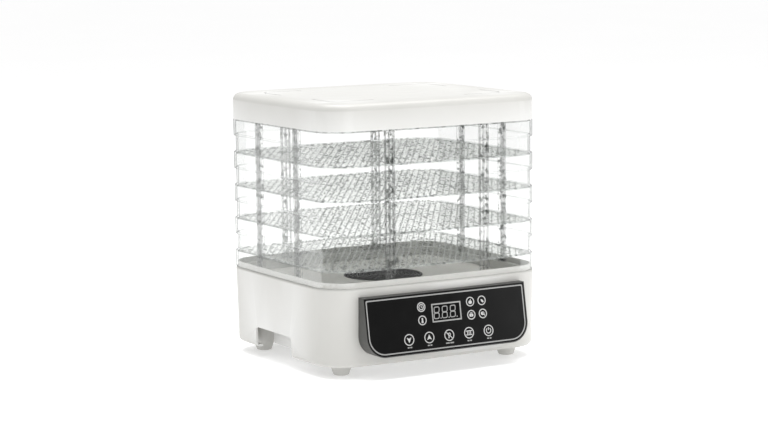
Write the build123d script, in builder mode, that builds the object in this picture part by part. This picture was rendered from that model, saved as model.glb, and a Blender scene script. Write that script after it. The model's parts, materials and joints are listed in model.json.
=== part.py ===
from build123d import *
import math
import os

# Five-tray food dehydrator. Millimetres, +Z up, the control panel faces -Y.
# Origin: centre of the overall footprint, on the surface that the feet stand on.

os.makedirs("parts", exist_ok=True)

# ---- Driving dimensions ---------------------------------------------------------------------------
# Plan of the body: a rounded rectangle whose four sides bow outwards.
WIDTH = 300.0
DEPTH = 267.6
CORNER = 38.9
FRONT_BOW = 4.2
SIDE_BOW = 1.8

# Levels, from the floor up.
HOUSING_BOTTOM = 13.1
COVER_BOTTOM = 39.0
DECK_TOP = 95.5
LEDGE = 105.8
NECK_TOP = 112.3
TRAY_PITCH = 40.25
TRAY_COUNT = 5
LID_HEIGHT = 31.3

# Walls of the base.
WALL = 2.5
HOUSING_DRAFT = 2.1
BOTTOM_ROUND = 5.0
SHOULDER_ROUND = 2.8
RETURN_LIP = 11.0
RECESS_INSET = 12.0
DECK_GAP = 0.3
DECK_SKIN = 0.5
SEAT_INSET = 18.0
SEAT_THICK = 2.0
DECK_SCREWS = [(-100, -117.5), (100, -117.5), (-100, 117.5), (100, 117.5), (-136, 30), (136, 30)]
NOTCH_FRONT = -35.5
NOTCH_REAR = 53.8
NOTCH_TOP = 38.2
NOTCH_ROUND = 4.0
GRIP_WALL_X = 120.0
GRIP_WALL_THICK = 2.0
GRIP_WALL_MARGIN = 5.0
GRIP_WALL_LIFT = 1.0
CUT_MARGIN = 1.0
WALL_CUT = 10.0
BOSS_RADIUS = 4.0
BOSS_PLACES = [(-134, -62), (134, -62), (-60, 118), (60, 118), (-60, -118), (60, -118)]
BOSS_HOLE = 1.4
BOSS_HOLE_DEPTH = 14.0
SCREW_CLEARANCE = 1.7
SCREW_HEAD = 2.8
SCREW_HEAD_HEIGHT = 2.0
SCREW_SHANK = 1.3
SCREW_TIP_COVER = 0.8

# Trays: skirt outside, collar 0.4 inside the skirt above it, posts that meet at half pitch.
TRAY_WALL = 2.0
NEST_GAP = 0.4
NEST_OVERLAP = 2.0
FLOOR_THICK = 2.0
FLOOR_GAP = 0.1
POST_WIDTH = 12.0
POST_DEPTH = 4.5
POST_BACK = 1.2
POST_RIB = 1.5
POST_JOIN = 0.1
WEB_JOIN = 0.6
WEB_OVERLAP = 0.2
POST_FRONT_X = 64.7
POST_SIDE_Y = 46.8
MESH_SLOT = 2.2
MESH_BAR = 2.0
MESH_LENGTH = 60.0
MESH_BRIDGE = 3.0
MESH_BORDER = 7.0
WEB_CLEAR = 1.0

# Lid.
LID_WALL = 2.0
LID_ROUND = 8.5
VENT_RING = (236.0, 178.0)
VENT_WIDTH = 2.2
VENT_CORNER = 12.0
VENT_GAP = (124.0, 76.0)

# Control panel: a wedge whose face leans out towards its foot.
PANEL_HALF = 111.0
PANEL_TOP = 95.5
PANEL_BOTTOM = 26.0
PANEL_CORNER = 24.0
PANEL_TOP_CORNER = 2.0
PANEL_REACH = 7.5
PANEL_LEAN = 0.17
BEZEL_WALL = 2.5
BEZEL_FACE = 3.0
OVERLAY_THICK = 1.0
OVERLAY_INSET = 1.2
OVERLAY_GAP = 0.2
DISPLAY_SIZE = (40.0, 20.0)
DISPLAY_LEVEL = 70.5
KEY_LEVEL = 43.3
KEY_PITCH = 27.4
ICON_LEVELS = (79.0, 63.7)
ICON_PLACES = (-34.5, 33.0, 49.1)
CONTROL_BOARD = (150.0, 46.0)
CONTROL_BOARD_LEVEL = 61.0
CONTROL_BOARD_BACK = 8.6
DISPLAY_MARGIN = 0.5
SPRING_RADII = (4.0, 3.2)
SPRING_GAP = 0.1
SLAB_START = 10.0
SLAB_LENGTH = 40.0
RECESS_OUT = 5.0
BOARD_THICK = 1.6

# Feet.
FOOT_X = 115.1
FOOT_Y = 96.1
FOOT_TIP = 9.2
FOOT_WAIST = 13.4
FOOT_TOP = 14.5
PAD_RADIUS = 7.0
PAD_SUNK = 1.5
FOOT_LIFT = 0.6
FOOT_ROUND = 0.8
FOOT_HOLE_DEPTH = 12.0
FOOT_SCREW_REACH = 9.0
PAD_GAP = 0.1

# Fan, motor and heater, on the vertical axis of the body.
GUARD_RADIUS = 48.0
GUARD_THICK = 2.5
GUARD_SEAT = 1.5
GUARD_GAP = 1.9
GUARD_RINGS = 7
GUARD_HUB = 12.0
GUARD_SPOKES = 8
GUARD_SPOKE_WIDTH = 2.4
GUARD_FIT = 0.2
GUARD_ROUND = 0.8
DECK_OPENING = 45.5
DUCT_INNER = 46.2
DUCT_WALL = 1.2
DUCT_BOTTOM = 47.5
DUCT_FLANGE = 57.0
DUCT_SCREW_CIRCLE = 52.5
BRACKET_BOTTOM = 45.5
BRACKET_THICK = 1.5
BRACKET_REACH = 53.0
BRACKET_END = 6.0
BRACKET_SCREW_HEAD = (1.2, 2.6)
BRACKET_SCREW_TIP = 0.5
CAN_WALL = 1.0
CAN_RADIUS = 17.5
CAN_HEIGHT = 21.0
SHAFT_RADIUS = 1.5
RUNNING_GAP = 0.05
HUB_GAP = 0.02
BEARING_RADIUS = 3.0
BEARING_LENGTH = 4.0
ROTOR_RADIUS = 9.3
STATOR_RADIUS = 16.3
STATOR_HEIGHT = 9.0
STATOR_BOTTOM = 53.0
TOOTH_TIP = 9.8
TOOTH_WIDTH = 4.0
STATOR_YOKE = 3.0
TOOTH_OVERLAP = 1.0
WINDING_MIDDLE = 1.9
WINDING_THICK = 2.0
WINDING_SIDE = 1.3
WINDING_END = 1.5
WINDING_GAP = 0.1
POLES = 6
HUB_BOTTOM = 70.0
HUB_HEIGHT = 11.0
HUB_RADIUS = 9.0
BLADES = 7
BLADE_TIP = 43.0
BLADE_CHORD = 15.0
BLADE_THICK = 1.4
BLADE_PITCH = 32.0
NUT_HEIGHT = 2.5
NUT_RADIUS = 3.4
SHAFT_END = 0.3
SHAFT_LIFT = 0.2
HEATER_BOTTOM = 85.0
HEATER_HEIGHT = 7.5
HEATER_SHEET = 1.0
COIL_LEVEL = 89.0
COIL_RADII = (16.0, 25.0, 34.0)
COIL_WIRE = 0.9
COIL_GAP = 0.2
HEATER_GAP = 0.5
DUCT_SIDE_GAP = 0.3
THERMOSTAT_CAN = (7.0, 4.0)
THERMOSTAT_TAB = (4.0, 9.0, 2.0)
THERMOSTAT_PLACE = (200, 76.0)
FUSE_SIZE = (14.0, 4.0)
FUSE_OUT = 2.2
FUSE_PLACE = (160, 70.0)
PROBE_CAP = (5.5, 1.2)
PROBE_TIP = (2.6, 6.0)
PROBE_ROUND = 1.2
PROBE_BELOW = 5.0

# Electronics in the rear right of the base.
BOARD_CENTRE = (98.0, 55.0)
BOARD_SIZE = (70.0, 60.0)
BOARD_BOTTOM = 50.0
BOARD_HOLE_PITCH = (60.0, 50.0)
BOARD_SCREW_HEAD = (1.6, 2.6)
STANDOFF_RADIUS = 3.2
STANDOFF_FLOOR = 1.0
BLOCK_CHAMFER = 0.6
# each component on the board: its middle and its width, depth and height
TRANSFORMER = ((86.0, 44.0), (24.0, 20.0, 18.0))
RELAY = ((115.5, 42.0), (19.0, 15.0, 15.0))
TERMINAL_BLOCK = ((104.0, 78.0), (30.0, 8.0, 10.0))
CAPACITOR_PLACES = [(76.0, 66.0), (90.0, 66.0)]
CAPACITOR_SIZE = (5.0, 14.0)
CAPACITOR_ROUND = 0.8
BUZZER_PLACE = (110.0, 62.0)
BUZZER_SIZE = (6.0, 9.0)
BUZZER_HOLE = (1.2, 1.0)
GLAND_X = 90.0
GLAND_LEVEL = 60.0
GLAND_BORE = 3.6
GLAND_BARREL = 6.3
GLAND_FLANGE = 9.0
GLAND_PROUD = 3.0
GLAND_INSIDE = 11.0
GLAND_LENGTH = GLAND_INSIDE + GLAND_PROUD - 3
GLAND_COLLAR = 4.0
GLAND_ROUND = 1.5
GLAND_GAP = 0.2

# ---- Places worked out from the dimensions above --------------------------------------------------
FRONT_REACH = DEPTH / 2 + PANEL_REACH + PANEL_LEAN * (PANEL_TOP - PANEL_BOTTOM)
REAR_REACH = DEPTH / 2
BODY_Y = (FRONT_REACH - REAR_REACH) / 2
COVER_TOP = COVER_BOTTOM + WALL
DECK_BOTTOM = DECK_TOP - WALL
SEAT_BOTTOM = DECK_BOTTOM - SEAT_THICK
HALF_PITCH = TRAY_PITCH / 2
LOWEST_FLOOR = LEDGE + HALF_PITCH
COLLAR_OUT = TRAY_WALL + NEST_GAP
COLLAR_IN = COLLAR_OUT + TRAY_WALL
POST_OUT = COLLAR_IN + NEST_GAP
LID_BOTTOM = LOWEST_FLOOR + TRAY_PITCH * (TRAY_COUNT - 1)
LID_TOP = LID_BOTTOM + LID_HEIGHT
BRACKET_TOP = BRACKET_BOTTOM + BRACKET_THICK
CAN_TOP = BRACKET_TOP + CAN_HEIGHT
BOARD_TOP = BOARD_BOTTOM + BOARD_THICK


# ---- Helpers --------------------------------------------------------------------------------------
def level(height):
    """The horizontal plane at this height, centred on the body."""
    return Plane(origin=(0, BODY_Y, height))


def face_plane(height, depth=0.0):
    """A plane in the panel's leaning face at this height, depth below the surface."""
    reach = DEPTH / 2 + PANEL_REACH + PANEL_LEAN * (PANEL_TOP - height)
    plane = Plane(origin=(0, BODY_Y - reach, height), x_dir=(1, 0, 0), z_dir=(0, -1, PANEL_LEAN))
    return plane.offset(-depth)


def footprint(inset):
    """The plan of the body moved in by inset, as a flat sketch."""
    half_w = WIDTH / 2 - inset
    half_d = DEPTH / 2 - inset
    end_x = half_w - SIDE_BOW
    end_y = half_d - FRONT_BOW
    with BuildSketch(Plane.XY, mode=Mode.PRIVATE) as plan:
        with BuildLine():
            ThreePointArc((-end_x, -end_y), (0, -half_d), (end_x, -end_y))
            ThreePointArc((end_x, -end_y), (half_w, 0), (end_x, end_y))
            ThreePointArc((end_x, end_y), (0, half_d), (-end_x, end_y))
            ThreePointArc((-end_x, end_y), (-half_w, 0), (-end_x, -end_y))
        make_face()
        fillet(plan.vertices(), CORNER - inset)
    return plan.sketch


def band(bottom, top, outer, inner=None, mode=Mode.ADD):
    """A wall that follows the body's plan between two insets; a full block when inner is None."""
    outer_plan = footprint(outer)
    inner_plan = None if inner is None else footprint(inner)
    with BuildSketch(level(bottom)) as plan:
        add(outer_plan)
        if inner_plan is not None:
            add(inner_plan, mode=Mode.SUBTRACT)
    extrude(plan.sketch, amount=top - bottom, mode=mode)


def drafted_block(bottom, top, inset):
    """The base's tapering block between two levels, moved in by inset."""
    slope = HOUSING_DRAFT / (LEDGE - HOUSING_BOTTOM)
    plans = [footprint(inset + slope * (LEDGE - height)) for height in (bottom, top)]
    with BuildPart(mode=Mode.PRIVATE) as block:
        for plan, height in zip(plans, (bottom, top)):
            with BuildSketch(level(height)):
                add(plan)
        loft(ruled=True)
    return block.part


def panel_outline(inset):
    """The control panel's outline seen from the front, moved in by inset, as a flat sketch."""
    width = 2 * (PANEL_HALF - inset)
    height = PANEL_TOP - PANEL_BOTTOM - 2 * inset
    with BuildSketch(Plane.XY, mode=Mode.PRIVATE) as outline:
        Rectangle(width, height)
        corners = outline.vertices().sort_by(Axis.Y)
        fillet(corners[:2], PANEL_CORNER - inset)
        fillet(corners[2:], max(PANEL_TOP_CORNER - inset, 0.5))
    return outline.sketch


def panel_slab(inset, outer_depth, inner_depth=None):
    """The panel's outline between two depths below its leaning face, or back into the base."""
    outline = panel_outline(inset)
    middle = (PANEL_TOP + PANEL_BOTTOM) / 2
    start_origin = (0, BODY_Y - DEPTH / 2 + SLAB_START, middle)
    start = Plane(origin=start_origin, x_dir=(1, 0, 0), z_dir=(0, -1, 0))
    with BuildPart(mode=Mode.PRIVATE) as slab:
        with BuildSketch(start):
            add(outline)
        extrude(amount=SLAB_LENGTH)
        split(bisect_by=face_plane(middle, outer_depth), keep=Keep.BOTTOM)
        if inner_depth is not None:
            split(bisect_by=face_plane(middle, inner_depth), keep=Keep.TOP)
    return slab.part


def tube(bottom, top, outer, inner=0.0, centre=(0, 0), mode=Mode.ADD):
    """An upright tube or rod between two levels."""
    with BuildSketch(level(bottom)) as plan:
        with Locations(centre):
            Circle(outer)
            if inner > 0:
                Circle(inner, mode=Mode.SUBTRACT)
    extrude(plan.sketch, amount=top - bottom, mode=mode)


def pins(bottom, top, radius, places, mode=Mode.ADD):
    """Equal upright rods at several places."""
    with BuildSketch(level(bottom)) as plan:
        with Locations(*places):
            Circle(radius)
    extrude(plan.sketch, amount=top - bottom, mode=mode)


def screws(head_from, head_to, tip, places, head=SCREW_HEAD):
    """A set of equal pan-head screws; the shank runs from the head to the tip."""
    with BuildPart(mode=Mode.PRIVATE) as group:
        pins(min(head_from, head_to), max(head_from, head_to), head, places)
        pins(min(head_to, tip), max(head_to, tip), SCREW_SHANK, places)
    return group.part


def circle_places(radius, count, start=0.0):
    """Places spaced evenly on a circle."""
    angles = [math.radians(start + 360 / count * i) for i in range(count)]
    return [(radius * math.cos(a), radius * math.sin(a)) for a in angles]


def save(part, name):
    """Labels a finished piece and writes it to its own file."""
    part.label = name
    export_step(part, f"parts/{name}.step")


# ---- Base housing ---------------------------------------------------------------------------------
BOARD_HOLES = [
    (BOARD_CENTRE[0] + sx * BOARD_HOLE_PITCH[0] / 2, BOARD_CENTRE[1] + sy * BOARD_HOLE_PITCH[1] / 2)
    for sx in (-1, 1)
    for sy in (-1, 1)
]
FOOT_PLACES = [(sx * FOOT_X, sy * FOOT_Y) for sy in (-1, 1) for sx in (-1, 1)]
DUCT_SCREWS = circle_places(DUCT_SCREW_CIRCLE, 4, 45)
PROBE_PLACE = (66.0, 78.0)
CABLE_X = 38.0
CABLE_LEVEL = 60.0
CABLE_RADIUS = 2.0
CABLE_CLEARANCE = 2.0
PROBE_BODY = 3.5
PROBE_GAP = 0.2

housing_block = drafted_block(HOUSING_BOTTOM, LEDGE, 0)
housing_hollow = drafted_block(HOUSING_BOTTOM + WALL, SEAT_BOTTOM, WALL)

with BuildPart() as base_housing:
    add(housing_block)
    fillet(base_housing.edges().group_by(Axis.Z)[-1], SHOULDER_ROUND)
    fillet(base_housing.edges().group_by(Axis.Z)[0], BOTTOM_ROUND)
    add(housing_hollow, mode=Mode.SUBTRACT)
    band(HOUSING_BOTTOM - CUT_MARGIN, HOUSING_BOTTOM + WALL, RETURN_LIP, mode=Mode.SUBTRACT)
    # the shoulder's hollow, the recess for the deck and the seat that the deck rests on
    band(SEAT_BOTTOM, LEDGE - WALL, WALL + HOUSING_DRAFT / 4, RECESS_INSET - WALL, mode=Mode.SUBTRACT)
    band(DECK_BOTTOM, LEDGE, RECESS_INSET, mode=Mode.SUBTRACT)
    band(SEAT_BOTTOM, DECK_BOTTOM, SEAT_INSET, mode=Mode.SUBTRACT)
    pins(SEAT_BOTTOM, DECK_BOTTOM, BOSS_HOLE, DECK_SCREWS, mode=Mode.SUBTRACT)
    band(LEDGE - WALL, NECK_TOP, COLLAR_OUT, COLLAR_IN)
    # screw bosses down to the bottom cover
    pins(COVER_TOP, SEAT_BOTTOM + SEAT_THICK / 2, BOSS_RADIUS, BOSS_PLACES)
    pins(COVER_TOP, COVER_TOP + BOSS_HOLE_DEPTH, BOSS_HOLE, BOSS_PLACES, mode=Mode.SUBTRACT)
    # hand notches, straight through both sides below the cover
    notch_middle = BODY_Y + (NOTCH_FRONT + NOTCH_REAR) / 2
    notch_origin = (-WIDTH / 2 - CUT_MARGIN, notch_middle, NOTCH_TOP)
    with BuildSketch(Plane(origin=notch_origin, x_dir=(0, 1, 0), z_dir=(1, 0, 0))) as notch:
        Rectangle(NOTCH_REAR - NOTCH_FRONT, NOTCH_TOP, align=(Align.CENTER, Align.MAX))
        fillet(notch.vertices().sort_by(Axis.Y)[2:], NOTCH_ROUND)
    extrude(amount=WIDTH + 2 * CUT_MARGIN, mode=Mode.SUBTRACT)
    # hole for the cord gland in the rear wall
    gland_hole = (GLAND_X, BODY_Y + DEPTH / 2 + CUT_MARGIN, GLAND_LEVEL)
    with BuildSketch(Plane(origin=gland_hole, x_dir=(1, 0, 0), z_dir=(0, -1, 0))):
        Circle(GLAND_BARREL + GLAND_GAP)
    extrude(amount=WALL_CUT, mode=Mode.SUBTRACT)
    # hole for the board cable in the front wall
    cable_hole = (CABLE_X, BODY_Y - DEPTH / 2 - CUT_MARGIN, CABLE_LEVEL)
    with BuildSketch(Plane(origin=cable_hole, x_dir=(1, 0, 0), z_dir=(0, 1, 0))):
        Circle(CABLE_RADIUS + CABLE_CLEARANCE)
    extrude(amount=WALL_CUT, mode=Mode.SUBTRACT)
save(base_housing.part, "base_housing")

# ---- Deck -----------------------------------------------------------------------------------------
with BuildPart() as deck_plate:
    band(DECK_BOTTOM, DECK_TOP, RECESS_INSET + DECK_GAP)
    # opening and seat for the fan guard
    tube(DECK_BOTTOM, DECK_TOP, DECK_OPENING, mode=Mode.SUBTRACT)
    tube(DECK_TOP - GUARD_SEAT, DECK_TOP, GUARD_RADIUS + GUARD_FIT, mode=Mode.SUBTRACT)
    pins(DECK_BOTTOM, DECK_TOP - DECK_SKIN, BOSS_HOLE, DUCT_SCREWS + DECK_SCREWS, mode=Mode.SUBTRACT)
    tube(DECK_BOTTOM, DECK_TOP, PROBE_BODY + PROBE_GAP, centre=PROBE_PLACE, mode=Mode.SUBTRACT)
save(deck_plate.part, "deck_plate")
deck_screw_head = SEAT_BOTTOM - SCREW_HEAD_HEIGHT
save(screws(deck_screw_head, SEAT_BOTTOM, DECK_TOP - SCREW_TIP_COVER, DECK_SCREWS), "deck_screws")

# ---- Bottom cover ---------------------------------------------------------------------------------
COVER_INSET = WALL + HOUSING_DRAFT + 0.3
PILLAR_RADIUS = 4.5
PILLAR_PLACES = [(-BRACKET_REACH, 0), (BRACKET_REACH, 0)]
COVER_SCREW_REACH = 10.0
INTAKE_RINGS = ((16.0, 26.0), (29.0, 41.0))
INTAKE_SLOTS = 24
INTAKE_WIDTH = 3.0

with BuildPart() as bottom_cover:
    band(COVER_BOTTOM, COVER_TOP, COVER_INSET)
    # radial intake slots under the fan
    with BuildSketch(level(COVER_BOTTOM)):
        for inner, outer in INTAKE_RINGS:
            with PolarLocations((inner + outer) / 2, INTAKE_SLOTS):
                SlotOverall(outer - inner, INTAKE_WIDTH)
    extrude(amount=WALL, mode=Mode.SUBTRACT)
    pins(COVER_BOTTOM, COVER_TOP, SCREW_CLEARANCE, BOSS_PLACES, mode=Mode.SUBTRACT)
    pins(COVER_BOTTOM, COVER_TOP, SCREW_CLEARANCE, FOOT_PLACES, mode=Mode.SUBTRACT)
    # two pillars that carry the motor bracket
    pins(COVER_TOP, BRACKET_BOTTOM, PILLAR_RADIUS, PILLAR_PLACES)
    pins(COVER_BOTTOM, BRACKET_BOTTOM, BOSS_HOLE, PILLAR_PLACES, mode=Mode.SUBTRACT)
save(bottom_cover.part, "bottom_cover")
cover_screw_head = COVER_BOTTOM - SCREW_HEAD_HEIGHT
save(screws(cover_screw_head, COVER_BOTTOM, COVER_TOP + COVER_SCREW_REACH, BOSS_PLACES), "cover_screws")

# ---- Walls behind the hand notches ----------------------------------------------------------------
grip_wall_size = (GRIP_WALL_THICK, NOTCH_REAR - NOTCH_FRONT + 2 * GRIP_WALL_MARGIN)
grip_wall_y = (NOTCH_FRONT + NOTCH_REAR) / 2
grip_wall_bottom = HOUSING_BOTTOM + GRIP_WALL_LIFT

with BuildPart() as grip_walls:
    with BuildSketch(level(grip_wall_bottom)):
        with Locations((-GRIP_WALL_X, grip_wall_y), (GRIP_WALL_X, grip_wall_y)):
            Rectangle(*grip_wall_size)
    extrude(amount=COVER_BOTTOM - grip_wall_bottom)
save(grip_walls.part, "grip_walls")

# ---- Feet -----------------------------------------------------------------------------------------
FOOT_NAMES = ("foot_front_left", "foot_front_right", "foot_rear_left", "foot_rear_right")

for foot_name, (foot_x, foot_y) in zip(FOOT_NAMES, FOOT_PLACES):
    foot_plane = Plane(origin=(foot_x, BODY_Y + foot_y, 0), x_dir=(1, 0, 0), z_dir=(0, -1, 0))
    with BuildPart() as foot:
        with BuildSketch(foot_plane):
            with BuildLine():
                Polyline(
                    (0, FOOT_LIFT),
                    (FOOT_TIP, FOOT_LIFT),
                    (FOOT_WAIST, HOUSING_BOTTOM),
                    (FOOT_TOP, COVER_BOTTOM),
                    (0, COVER_BOTTOM),
                    close=True,
                )
            make_face()
        revolve(axis=Axis((foot_x, BODY_Y + foot_y, 0), (0, 0, 1)))
        fillet(foot.edges().group_by(Axis.Z)[0], FOOT_ROUND)
        pins(FOOT_LIFT, FOOT_LIFT + PAD_SUNK, PAD_RADIUS + PAD_GAP, [(foot_x, foot_y)], Mode.SUBTRACT)
        pins(COVER_BOTTOM - FOOT_HOLE_DEPTH, COVER_BOTTOM, BOSS_HOLE, [(foot_x, foot_y)], Mode.SUBTRACT)
    save(foot.part, foot_name)

with BuildPart() as foot_pads:
    pins(0, FOOT_LIFT + PAD_SUNK, PAD_RADIUS, FOOT_PLACES)
save(foot_pads.part, "foot_pads")
foot_screw_head = COVER_TOP + SCREW_HEAD_HEIGHT
save(screws(foot_screw_head, COVER_TOP, COVER_BOTTOM - FOOT_SCREW_REACH, FOOT_PLACES), "foot_screws")

# ---- Fan guard and air duct -----------------------------------------------------------------------
guard_open = DECK_OPENING - 1
ring_pitch = (guard_open - GUARD_HUB - GUARD_GAP) / GUARD_RINGS

with BuildPart() as fan_guard:
    with BuildSketch(level(DECK_TOP - GUARD_SEAT)):
        Circle(GUARD_RADIUS)
        Circle(guard_open, mode=Mode.SUBTRACT)
        for i in range(GUARD_RINGS):
            outer = guard_open - GUARD_GAP - ring_pitch * i
            Circle(outer)
            Circle(outer - ring_pitch + GUARD_GAP, mode=Mode.SUBTRACT)
        Circle(GUARD_HUB)
        with PolarLocations((GUARD_HUB + DECK_OPENING) / 2, GUARD_SPOKES):
            Rectangle(DECK_OPENING - GUARD_HUB + 1, GUARD_SPOKE_WIDTH)
    extrude(amount=GUARD_THICK)
    top_circles = fan_guard.edges().filter_by(GeomType.CIRCLE).group_by(Axis.Z)[-1]
    fillet(top_circles.sort_by(SortBy.RADIUS)[-1], GUARD_ROUND)
save(fan_guard.part, "fan_guard")

with BuildPart() as air_duct:
    tube(DUCT_BOTTOM, DECK_BOTTOM, DUCT_INNER + DUCT_WALL, DUCT_INNER)
    tube(DECK_BOTTOM - DUCT_WALL, DECK_BOTTOM, DUCT_FLANGE, DUCT_INNER)
    pins(DECK_BOTTOM - DUCT_WALL, DECK_BOTTOM, SCREW_CLEARANCE, DUCT_SCREWS, mode=Mode.SUBTRACT)
save(air_duct.part, "air_duct")
flange_bottom = DECK_BOTTOM - DUCT_WALL
duct_screw_head = flange_bottom - SCREW_HEAD_HEIGHT
save(screws(duct_screw_head, flange_bottom, DECK_TOP - SCREW_TIP_COVER, DUCT_SCREWS), "duct_screws")

# ---- Motor ----------------------------------------------------------------------------------------
with BuildPart() as motor_bracket:
    with BuildSketch(level(BRACKET_BOTTOM)):
        SlotOverall(2 * (BRACKET_REACH + BRACKET_END), 2 * BRACKET_END)
        Circle(CAN_RADIUS)
        Circle(BEARING_RADIUS + 1, mode=Mode.SUBTRACT)
        with Locations(*PILLAR_PLACES):
            Circle(SCREW_CLEARANCE, mode=Mode.SUBTRACT)
    extrude(amount=BRACKET_THICK)
save(motor_bracket.part, "motor_bracket")
head_height, head_radius = BRACKET_SCREW_HEAD
bracket_tip = COVER_BOTTOM + BRACKET_SCREW_TIP
bracket_head = BRACKET_TOP + head_height
save(screws(bracket_head, BRACKET_TOP, bracket_tip, PILLAR_PLACES, head_radius), "bracket_screws")

with BuildPart() as motor_can:
    tube(BRACKET_TOP, CAN_TOP, CAN_RADIUS)
    tube(BRACKET_TOP + CAN_WALL, CAN_TOP - CAN_WALL, CAN_RADIUS - CAN_WALL, mode=Mode.SUBTRACT)
    tube(BRACKET_TOP, CAN_TOP, BEARING_RADIUS + RUNNING_GAP, mode=Mode.SUBTRACT)
save(motor_can.part, "motor_can")

with BuildPart() as motor_bearings:
    for bearing_bottom in (BRACKET_TOP, CAN_TOP - BEARING_LENGTH):
        tube(bearing_bottom, bearing_bottom + BEARING_LENGTH, BEARING_RADIUS, SHAFT_RADIUS + RUNNING_GAP)
save(motor_bearings.part, "motor_bearings")

with BuildPart() as motor_stator:
    with BuildSketch(level(STATOR_BOTTOM)):
        Circle(STATOR_RADIUS)
        Circle(STATOR_RADIUS - STATOR_YOKE, mode=Mode.SUBTRACT)
        tooth_root = STATOR_RADIUS - STATOR_YOKE + TOOTH_OVERLAP
        with PolarLocations((TOOTH_TIP + tooth_root) / 2, POLES):
            Rectangle(tooth_root - TOOTH_TIP, TOOTH_WIDTH)
        Circle(TOOTH_TIP, mode=Mode.SUBTRACT)
    extrude(amount=STATOR_HEIGHT)
save(motor_stator.part, "motor_stator")

with BuildPart() as motor_windings:
    coil_middle = TOOTH_TIP + WINDING_MIDDLE
    with BuildSketch(level(STATOR_BOTTOM - WINDING_END)):
        with PolarLocations(coil_middle, POLES):
            Rectangle(WINDING_THICK, TOOTH_WIDTH + 2 * WINDING_SIDE)
    extrude(amount=STATOR_HEIGHT + 2 * WINDING_END)
    # the room for the tooth inside each winding
    with BuildSketch(level(STATOR_BOTTOM - WINDING_GAP)):
        with PolarLocations(coil_middle, POLES):
            Rectangle(2 * WINDING_THICK, TOOTH_WIDTH + 2 * WINDING_GAP)
    extrude(amount=STATOR_HEIGHT + 2 * WINDING_GAP, mode=Mode.SUBTRACT)
save(motor_windings.part, "motor_windings")

# ---- What turns: shaft, rotor, impeller and nut ---------------------------------------------------
HUB_TOP = HUB_BOTTOM + HUB_HEIGHT
BORE = SHAFT_RADIUS + HUB_GAP

with BuildPart() as motor_shaft:
    tube(BRACKET_TOP + SHAFT_LIFT, HUB_TOP + NUT_HEIGHT + SHAFT_END, SHAFT_RADIUS)
save(motor_shaft.part, "motor_shaft")

with BuildPart() as motor_rotor:
    tube(STATOR_BOTTOM, STATOR_BOTTOM + STATOR_HEIGHT, ROTOR_RADIUS, BORE)
save(motor_rotor.part, "motor_rotor")

with BuildPart(level(HUB_BOTTOM + HUB_HEIGHT / 2)) as fan_impeller:
    blade_length = BLADE_TIP - HUB_RADIUS + 2
    with PolarLocations(BLADE_TIP - blade_length / 2, BLADES):
        Box(blade_length, BLADE_CHORD, BLADE_THICK, rotation=(BLADE_PITCH, 0, 0))
    tube(HUB_BOTTOM, HUB_TOP, HUB_RADIUS)
    tube(HUB_BOTTOM, HUB_TOP, BORE, mode=Mode.SUBTRACT)
save(fan_impeller.part, "fan_impeller")

with BuildPart() as impeller_nut:
    with BuildSketch(level(HUB_TOP)):
        RegularPolygon(NUT_RADIUS, 6)
        Circle(BORE, mode=Mode.SUBTRACT)
    extrude(amount=NUT_HEIGHT)
save(impeller_nut.part, "impeller_nut")

# ---- Heater and its safety parts ------------------------------------------------------------------
heater_span = 2 * (DUCT_INNER - HEATER_GAP)

with BuildPart() as heater_frame:
    with BuildSketch(level(HEATER_BOTTOM)):
        Rectangle(heater_span, HEATER_SHEET)
        Rectangle(HEATER_SHEET, heater_span)
    extrude(amount=HEATER_HEIGHT)
    for coil_radius in COIL_RADII:
        with Locations((0, BODY_Y, COIL_LEVEL)):
            Torus(coil_radius, COIL_WIRE + COIL_GAP, mode=Mode.SUBTRACT)
save(heater_frame.part, "heater_frame")

with BuildPart() as heater_coil:
    for coil_radius in COIL_RADII:
        with Locations((0, BODY_Y, COIL_LEVEL)):
            Torus(coil_radius, COIL_WIRE)
save(heater_coil.part, "heater_coil")


def duct_side(angle, height):
    """The plane that lies against the duct's outside at this angle, facing outwards."""
    out = (math.cos(math.radians(angle)), math.sin(math.radians(angle)), 0)
    reach = DUCT_INNER + DUCT_WALL + DUCT_SIDE_GAP
    return Plane(origin=(reach * out[0], BODY_Y + reach * out[1], height), x_dir=(0, 0, 1), z_dir=out)


can_radius, can_height = THERMOSTAT_CAN
tab_width, tab_length, tab_height = THERMOSTAT_TAB

with BuildPart() as thermostat:
    with BuildSketch(duct_side(*THERMOSTAT_PLACE)):
        Circle(can_radius)
    extrude(amount=can_height)
    with BuildSketch(duct_side(*THERMOSTAT_PLACE).offset(can_height)):
        Rectangle(tab_width, tab_length)
    extrude(amount=tab_height)
save(thermostat.part, "thermostat")

with BuildPart() as thermal_fuse:
    with BuildSketch(duct_side(*FUSE_PLACE).offset(FUSE_OUT)):
        SlotOverall(*FUSE_SIZE)
    extrude(amount=FUSE_SIZE[1] / 2, both=True)
save(thermal_fuse.part, "thermal_fuse")

cap_radius, cap_height = PROBE_CAP
tip_radius, tip_height = PROBE_TIP

with BuildPart() as temperature_probe:
    tube(DECK_BOTTOM - PROBE_BELOW, DECK_TOP, PROBE_BODY, centre=PROBE_PLACE)
    tube(DECK_TOP, DECK_TOP + cap_height, cap_radius, centre=PROBE_PLACE)
    tube(DECK_TOP + cap_height, DECK_TOP + tip_height, tip_radius, centre=PROBE_PLACE)
    fillet(temperature_probe.edges().group_by(Axis.Z)[-1], PROBE_ROUND)
save(temperature_probe.part, "temperature_probe")

# ---- Power electronics ----------------------------------------------------------------------------
with BuildPart() as power_board:
    with BuildSketch(level(BOARD_BOTTOM)):
        with Locations(BOARD_CENTRE):
            Rectangle(*BOARD_SIZE)
        with Locations(*BOARD_HOLES):
            Circle(SCREW_CLEARANCE, mode=Mode.SUBTRACT)
    extrude(amount=BOARD_THICK)
save(power_board.part, "power_board")

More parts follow.
